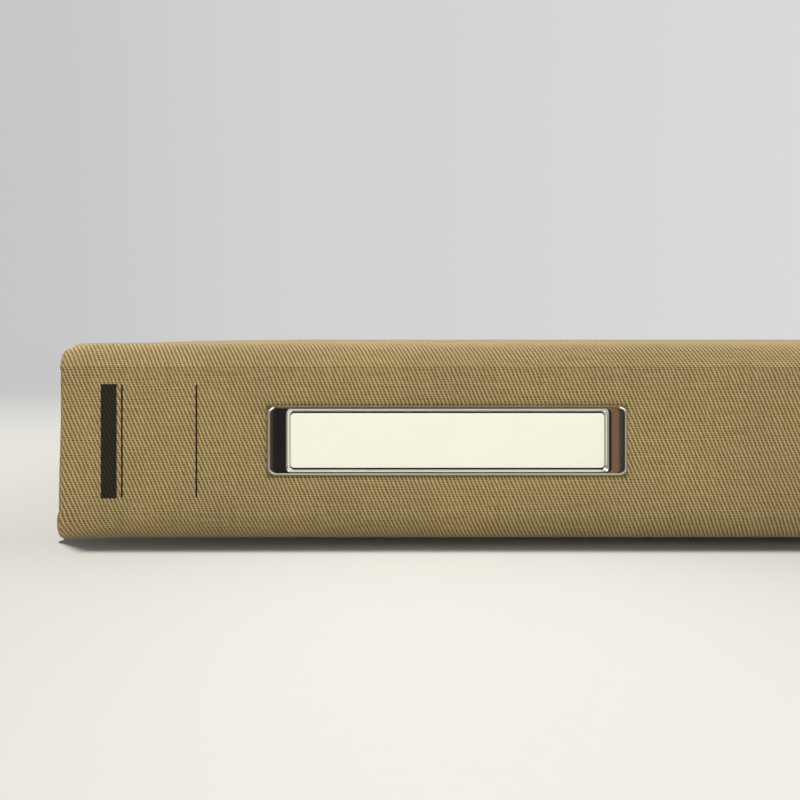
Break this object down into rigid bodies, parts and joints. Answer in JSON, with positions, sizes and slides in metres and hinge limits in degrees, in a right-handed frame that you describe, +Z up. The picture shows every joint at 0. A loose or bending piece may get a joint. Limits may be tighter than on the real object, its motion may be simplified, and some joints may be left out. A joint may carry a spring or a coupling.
{
  "type": "ring binder",
  "caption": "Cloth-covered multi-ring binder with a hinged spine, chromed label holder and a lever-operated ring mechanism.",
  "frame": {"origin": "middle of the binder's footprint, on the surface that its back cover lies on", "axes": "+X along the spine towards the binder's lower end, +Y from the spine towards the fore edge, +Z up through the closed covers"},
  "size_m": [0.3076, 0.247, 0.0411],
  "materials": {
    "cloth": "matte twill",
    "board": "matte grey board",
    "lining": "matte laid paper",
    "chrome": "polished",
    "nickel": "satin nickel",
    "card": "matte cream card"
  },
  "bodies": {
    "back_cover": {"back_cloth": "cloth", "back_board": "board", "back_lining": "lining", "ring_plate": "nickel", "rivet_top": "nickel", "rivet_middle": "nickel", "rivet_bottom": "nickel", "post_top": "nickel", "post_middle": "nickel", "post_bottom": "nickel", "top_lever_pin": "nickel", "bottom_lever_pin": "nickel"},
    "spine": {"spine_cloth": "cloth", "spine_board": "board", "spine_lining": "lining", "lower_hinge_strip": "cloth", "upper_hinge_strip": "cloth", "label_holder": "chrome"},
    "front_cover": {"front_cloth": "cloth", "front_board": "board", "front_lining": "lining"},
    "card": {"label_card": "card"},
    "spine_side_half": {"spine_side_rings": "nickel"},
    "fore_side_half": {"fore_side_rings": "nickel"},
    "upper_end_lever": {"top_lever": "nickel"},
    "lower_end_lever": {"bottom_lever": "nickel"}
  },
  "joints": [
    {"name": "spine_hinge", "type": "hinge", "parent": "back_cover", "child": "spine", "pos_m": [0, -0.11995, 0.0016], "axis": [1, 0, 0], "range_deg": [0, 90]},
    {"name": "front_hinge", "type": "hinge", "parent": "spine", "child": "front_cover", "pos_m": [0, -0.11995, 0.0395], "axis": [1, 0, 0], "range_deg": [0, 90]},
    {"name": "label_slide", "type": "slide", "parent": "spine", "child": "card", "axis": [-1, 0, 0], "range_m": [0, 0.072]},
    {"name": "ring_opening", "type": "hinge", "parent": "back_cover", "child": "spine_side_half", "pos_m": [0, -0.10895, 0.0058], "axis": [1, 0, 0], "range_deg": [0, 12]},
    {"name": "fore_side_opening", "type": "hinge", "parent": "back_cover", "child": "fore_side_half", "pos_m": [0, -0.09015, 0.0058], "axis": [1, 0, 0], "range_deg": [-12, 0]},
    {"name": "top_lever_hinge", "type": "hinge", "parent": "back_cover", "child": "upper_end_lever", "pos_m": [-0.1432, -0.09955, 0.0059], "axis": [0, 1, 0], "range_deg": [-26, 0]},
    {"name": "bottom_lever_hinge", "type": "hinge", "parent": "back_cover", "child": "lower_end_lever", "pos_m": [0.1432, -0.09955, 0.0059], "axis": [0, 1, 0], "range_deg": [0, 26]}
  ],
  "couplings": [
    {"joint": "fore_side_opening", "follows": "ring_opening", "ratio": -1},
    {"joint": "top_lever_hinge", "follows": "ring_opening", "ratio": -2.1666},
    {"joint": "bottom_lever_hinge", "follows": "ring_opening", "ratio": 2.1666}
  ]
}
